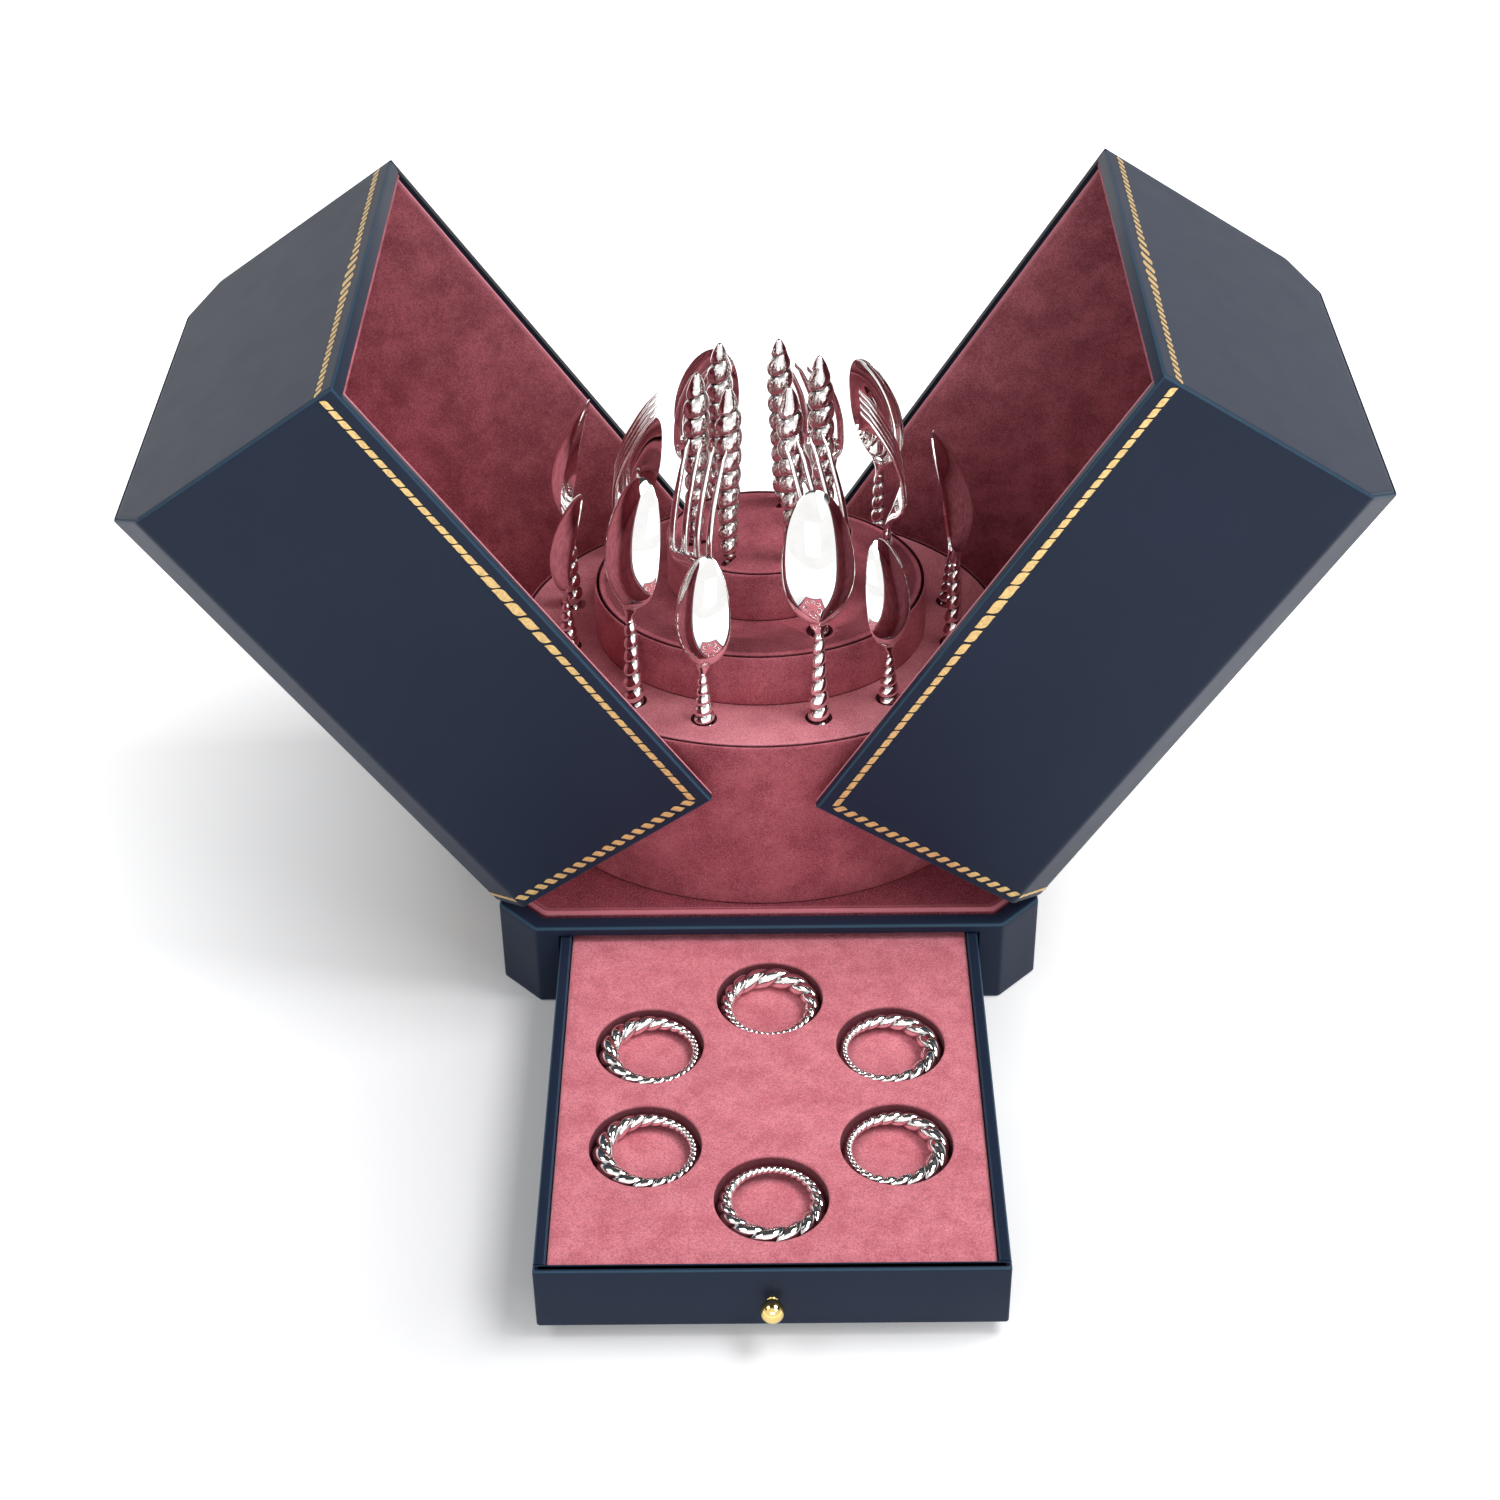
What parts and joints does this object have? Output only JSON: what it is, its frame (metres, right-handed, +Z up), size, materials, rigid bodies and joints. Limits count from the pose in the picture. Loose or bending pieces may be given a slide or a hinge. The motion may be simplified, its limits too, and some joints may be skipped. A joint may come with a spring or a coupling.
{
  "type": "silverware chest",
  "caption": "Leather-covered table chest whose two covers tip outwards from a stepped velvet stand of cutlery, over a drawer of napkin rings.",
  "frame": {"origin": "middle of the chest's underside", "axes": "+X to the viewer's right, along the line in which the covers open; +Y to the back; +Z up. The drawer pulls out along -Y."},
  "size_m": [0.5384, 0.437, 0.3293],
  "materials": {
    "leather_plinth": "fine-grained navy leather over board",
    "leather_cover": "fine-grained navy leather over board, gold-stamped rope border",
    "leather_panel": "fine-grained navy leather over board, gold-stamped rope border",
    "leather_drawer": "fine-grained navy leather over board",
    "board": "plain sanded board",
    "velvet_stand": "dusty rose velvet over a foam form",
    "velvet_lining": "dusty rose velvet lining",
    "velvet_drawer": "dusty rose velvet over foam",
    "silver": "mirror-polished silver",
    "hinge_brass": "satin brass",
    "knob_brass": "polished brass"
  },
  "bodies": {
    "plinth": {"plinth_case": "leather_plinth", "plinth_floor": "board", "deck_board": "board", "deck_pad": "velvet_stand", "drawer_guides": "board", "step1_block": "velvet_stand", "step1_pad": "velvet_stand", "step2_block": "velvet_stand", "step2_pad": "velvet_stand", "step3_block": "velvet_stand", "step3_pad": "velvet_stand", "base_hinge_leaves": "hinge_brass", "hinge_pins": "hinge_brass", "base_hinge_screws": "hinge_brass"},
    "left_cover": {"left_cover_case": "leather_cover", "left_cover_panel": "leather_panel", "left_cover_lining": "velvet_lining", "left_hinge_leaves": "hinge_brass", "left_hinge_screws": "hinge_brass"},
    "right_cover": {"right_cover_case": "leather_cover", "right_cover_panel": "leather_panel", "right_cover_lining": "velvet_lining", "right_hinge_leaves": "hinge_brass", "right_hinge_screws": "hinge_brass"},
    "drawer": {"drawer_front": "leather_drawer", "drawer_frame": "leather_drawer", "drawer_bottom": "leather_drawer", "drawer_insert": "velvet_drawer", "drawer_knob": "knob_brass"},
    "spoon_1": {"spoon_1": "silver"},
    "spoon_2": {"spoon_2": "silver"},
    "spoon_3": {"spoon_3": "silver"},
    "spoon_4": {"spoon_4": "silver"},
    "spoon_5": {"spoon_5": "silver"},
    "spoon_6": {"spoon_6": "silver"},
    "teaspoon_1": {"teaspoon_1": "silver"},
    "teaspoon_2": {"teaspoon_2": "silver"},
    "teaspoon_3": {"teaspoon_3": "silver"},
    "teaspoon_4": {"teaspoon_4": "silver"},
    "teaspoon_5": {"teaspoon_5": "silver"},
    "teaspoon_6": {"teaspoon_6": "silver"},
    "fork_1": {"fork_1": "silver"},
    "fork_2": {"fork_2": "silver"},
    "fork_3": {"fork_3": "silver"},
    "fork_4": {"fork_4": "silver"},
    "fork_5": {"fork_5": "silver"},
    "fork_6": {"fork_6": "silver"},
    "knife_1": {"knife_1": "silver"},
    "knife_2": {"knife_2": "silver"},
    "knife_3": {"knife_3": "silver"},
    "knife_4": {"knife_4": "silver"},
    "knife_5": {"knife_5": "silver"},
    "knife_6": {"knife_6": "silver"},
    "napkin_ring_1": {"napkin_ring_1": "silver"},
    "napkin_ring_2": {"napkin_ring_2": "silver"},
    "napkin_ring_3": {"napkin_ring_3": "silver"},
    "napkin_ring_4": {"napkin_ring_4": "silver"},
    "napkin_ring_5": {"napkin_ring_5": "silver"},
    "napkin_ring_6": {"napkin_ring_6": "silver"}
  },
  "joints": [
    {"name": "left_cover_hinge", "type": "hinge", "parent": "plinth", "child": "left_cover", "pos_m": [-0.1266, 0, 0.0425], "axis": [0, -1, 0], "range_deg": [-35, 0]},
    {"name": "right_cover_hinge", "type": "hinge", "parent": "plinth", "child": "right_cover", "pos_m": [0.1266, 0, 0.0425], "axis": [0, 1, 0], "range_deg": [-32.4, 0]},
    {"name": "drawer_slide", "type": "slide", "parent": "plinth", "child": "drawer", "axis": [0, -1, 0], "range_m": [-0.204, 0]},
    {"name": "spoon_1_lift", "type": "slide", "parent": "plinth", "child": "spoon_1", "axis": [0, 0, 1], "range_m": [0, 0.085]},
    {"name": "spoon_2_lift", "type": "slide", "parent": "plinth", "child": "spoon_2", "axis": [0, 0, 1], "range_m": [0, 0.085]},
    {"name": "spoon_3_lift", "type": "slide", "parent": "plinth", "child": "spoon_3", "axis": [0, 0, 1], "range_m": [0, 0.085]},
    {"name": "spoon_4_lift", "type": "slide", "parent": "plinth", "child": "spoon_4", "axis": [0, 0, 1], "range_m": [0, 0.085]},
    {"name": "spoon_5_lift", "type": "slide", "parent": "plinth", "child": "spoon_5", "axis": [0, 0, 1], "range_m": [0, 0.085]},
    {"name": "spoon_6_lift", "type": "slide", "parent": "plinth", "child": "spoon_6", "axis": [0, 0, 1], "range_m": [0, 0.085]},
    {"name": "teaspoon_1_lift", "type": "slide", "parent": "plinth", "child": "teaspoon_1", "axis": [0, 0, 1], "range_m": [0, 0.085]},
    {"name": "teaspoon_2_lift", "type": "slide", "parent": "plinth", "child": "teaspoon_2", "axis": [0, 0, 1], "range_m": [0, 0.085]},
    {"name": "teaspoon_3_lift", "type": "slide", "parent": "plinth", "child": "teaspoon_3", "axis": [0, 0, 1], "range_m": [0, 0.085]},
    {"name": "teaspoon_4_lift", "type": "slide", "parent": "plinth", "child": "teaspoon_4", "axis": [0, 0, 1], "range_m": [0, 0.085]},
    {"name": "teaspoon_5_lift", "type": "slide", "parent": "plinth", "child": "teaspoon_5", "axis": [0, 0, 1], "range_m": [0, 0.085]},
    {"name": "teaspoon_6_lift", "type": "slide", "parent": "plinth", "child": "teaspoon_6", "axis": [0, 0, 1], "range_m": [0, 0.085]},
    {"name": "fork_1_lift", "type": "slide", "parent": "plinth", "child": "fork_1", "axis": [0, 0, 1], "range_m": [0, 0.105]},
    {"name": "fork_2_lift", "type": "slide", "parent": "plinth", "child": "fork_2", "axis": [0, 0, 1], "range_m": [0, 0.105]},
    {"name": "fork_3_lift", "type": "slide", "parent": "plinth", "child": "fork_3", "axis": [0, 0, 1], "range_m": [0, 0.105]},
    {"name": "fork_4_lift", "type": "slide", "parent": "plinth", "child": "fork_4", "axis": [0, 0, 1], "range_m": [0, 0.105]},
    {"name": "fork_5_lift", "type": "slide", "parent": "plinth", "child": "fork_5", "axis": [0, 0, 1], "range_m": [0, 0.105]},
    {"name": "fork_6_lift", "type": "slide", "parent": "plinth", "child": "fork_6", "axis": [0, 0, 1], "range_m": [0, 0.105]},
    {"name": "knife_1_lift", "type": "slide", "parent": "plinth", "child": "knife_1", "axis": [-0.0189, 0.0293, 0.9994], "range_m": [0, 0.11]},
    {"name": "knife_2_lift", "type": "slide", "parent": "plinth", "child": "knife_2", "axis": [-0.0339, -0.0084, 0.9994], "range_m": [0, 0.11]},
    {"name": "knife_3_lift", "type": "slide", "parent": "plinth", "child": "knife_3", "axis": [-0.0136, -0.0321, 0.9994], "range_m": [0, 0.11]},
    {"name": "knife_4_lift", "type": "slide", "parent": "plinth", "child": "knife_4", "axis": [0.023, -0.0263, 0.9994], "range_m": [0, 0.11]},
    {"name": "knife_5_lift", "type": "slide", "parent": "plinth", "child": "knife_5", "axis": [0.0333, 0.0104, 0.9994], "range_m": [0, 0.11]},
    {"name": "knife_6_lift", "type": "slide", "parent": "plinth", "child": "knife_6", "axis": [0.0178, 0.03, 0.9994], "range_m": [0, 0.11]},
    {"name": "napkin_ring_1_lift", "type": "slide", "parent": "drawer", "child": "napkin_ring_1", "axis": [0, 0, 1], "range_m": [0, 0.03]},
    {"name": "napkin_ring_2_lift", "type": "slide", "parent": "drawer", "child": "napkin_ring_2", "axis": [0, 0, 1], "range_m": [0, 0.03]},
    {"name": "napkin_ring_3_lift", "type": "slide", "parent": "drawer", "child": "napkin_ring_3", "axis": [0, 0, 1], "range_m": [0, 0.03]},
    {"name": "napkin_ring_4_lift", "type": "slide", "parent": "drawer", "child": "napkin_ring_4", "axis": [0, 0, 1], "range_m": [0, 0.03]},
    {"name": "napkin_ring_5_lift", "type": "slide", "parent": "drawer", "child": "napkin_ring_5", "axis": [0, 0, 1], "range_m": [0, 0.03]},
    {"name": "napkin_ring_6_lift", "type": "slide", "parent": "drawer", "child": "napkin_ring_6", "axis": [0, 0, 1], "range_m": [0, 0.03]}
  ]
}
